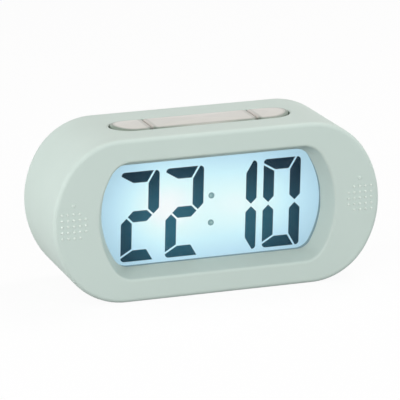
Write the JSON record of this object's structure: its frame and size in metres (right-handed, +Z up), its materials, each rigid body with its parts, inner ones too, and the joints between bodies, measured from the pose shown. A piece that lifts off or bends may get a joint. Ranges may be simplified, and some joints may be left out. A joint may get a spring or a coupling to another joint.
{
  "type": "digital alarm clock",
  "caption": "Free-standing digital alarm clock: soft silicone sleeve with rounded ends, recessed lit display, translucent snooze keys on top, battery bay behind.",
  "frame": {"origin": "middle of the flat underside, on the surface that the clock stands on", "axes": "+X to the right along the length, +Y to the back, away from the display, +Z up"},
  "size_m": [0.135, 0.0508, 0.0668],
  "materials": {
    "sleeve_silicone": "matte soft-touch silicone",
    "case_plastic": "fine moulded texture",
    "clear_plastic": "clear polished acrylic",
    "display_glass": "thin clear glass",
    "display_film": "thin film",
    "segment_dark": "dark liquid crystal",
    "light_white": "white reflective plastic",
    "lamp": "cool white lamp body",
    "strip_rubber": "striped contact rubber",
    "board": "solder-masked laminate",
    "black_plastic": "black moulded plastic",
    "bright_metal": "plated sheet and cans",
    "key_clear": "translucent off-white plastic",
    "rear_key_plastic": "moulded plastic",
    "ribbon_grey": "flat cable",
    "lead_red": "insulated wire",
    "lead_black": "insulated wire",
    "cell_can": "plain wrapped can",
    "screw_steel": "plated steel"
  },
  "bodies": {
    "clock_body": {"silicone_sleeve": "sleeve_silicone", "front_housing": "case_plastic", "rear_housing": "case_plastic", "window_lens": "clear_plastic", "lcd_front_film": "display_film", "lcd_front_glass": "display_glass", "lcd_segments": "segment_dark", "lcd_rear_glass": "display_glass", "lcd_rear_film": "display_film", "diffuser_film": "display_film", "light_box": "light_white", "backlight_leds": "lamp", "contact_strip": "strip_rubber", "main_board": "board", "key_board": "board", "setting_board": "board", "step_board": "board", "chip_cover": "black_plastic", "buzzer": "black_plastic", "quartz_crystal": "bright_metal", "capacitor": "bright_metal", "key_switches": "black_plastic", "rear_switches": "black_plastic", "slide_switch": "bright_metal", "setting_ribbon": "ribbon_grey", "step_ribbon": "ribbon_grey", "key_ribbon": "ribbon_grey", "battery_cells": "cell_can", "positive_contact": "bright_metal", "negative_contact": "bright_metal", "bridge_contacts": "bright_metal", "positive_lead": "lead_red", "negative_lead": "lead_black", "board_screws": "screw_steel", "key_board_screws": "screw_steel", "rear_board_screws": "screw_steel", "case_screws": "screw_steel"},
    "snooze_bar": {"snooze_bar": "key_clear", "snooze_plunger": "black_plastic"},
    "left_key": {"left_key": "key_clear", "left_plunger": "black_plastic"},
    "right_key": {"right_key": "key_clear", "right_plunger": "black_plastic"},
    "time_key": {"time_key": "rear_key_plastic", "time_plunger": "black_plastic"},
    "alarm_key": {"alarm_key": "rear_key_plastic", "alarm_plunger": "black_plastic"},
    "minus_key": {"minus_key": "rear_key_plastic", "minus_plunger": "black_plastic"},
    "plus_key": {"plus_key": "rear_key_plastic", "plus_plunger": "black_plastic"},
    "alarm_slide": {"alarm_slide": "rear_key_plastic", "slide_actuator": "black_plastic"},
    "battery_door": {"battery_door": "case_plastic"}
  },
  "joints": [
    {"name": "snooze_press", "type": "slide", "parent": "clock_body", "child": "snooze_bar", "axis": [0, 0, -1], "range_m": [0, 0.0008], "stiffness_N_per_m": 1500, "springref_m": -0.0002},
    {"name": "left_press", "type": "slide", "parent": "clock_body", "child": "left_key", "axis": [0, 0, -1], "range_m": [0, 0.0008], "stiffness_N_per_m": 1500, "springref_m": -0.0002},
    {"name": "right_press", "type": "slide", "parent": "clock_body", "child": "right_key", "axis": [0, 0, -1], "range_m": [0, 0.0008], "stiffness_N_per_m": 1500, "springref_m": -0.0002},
    {"name": "time_press", "type": "slide", "parent": "clock_body", "child": "time_key", "axis": [0, -1, 0], "range_m": [0, 0.0007], "stiffness_N_per_m": 1500, "springref_m": -0.0002},
    {"name": "alarm_press", "type": "slide", "parent": "clock_body", "child": "alarm_key", "axis": [0, -1, 0], "range_m": [0, 0.0007], "stiffness_N_per_m": 1500, "springref_m": -0.0002},
    {"name": "minus_press", "type": "slide", "parent": "clock_body", "child": "minus_key", "axis": [0, -1, 0], "range_m": [0, 0.0007], "stiffness_N_per_m": 1500, "springref_m": -0.0002},
    {"name": "plus_press", "type": "slide", "parent": "clock_body", "child": "plus_key", "axis": [0, -1, 0], "range_m": [0, 0.0007], "stiffness_N_per_m": 1500, "springref_m": -0.0002},
    {"name": "alarm_switch", "type": "slide", "parent": "clock_body", "child": "alarm_slide", "axis": [1, 0, 0], "range_m": [0, 0.0025]},
    {"name": "door_tilt", "type": "hinge", "parent": "clock_body", "child": "battery_door", "pos_m": [0, 0.024, 0.01015], "axis": [-1, 0, 0], "range_deg": [0, 45]}
  ]
}
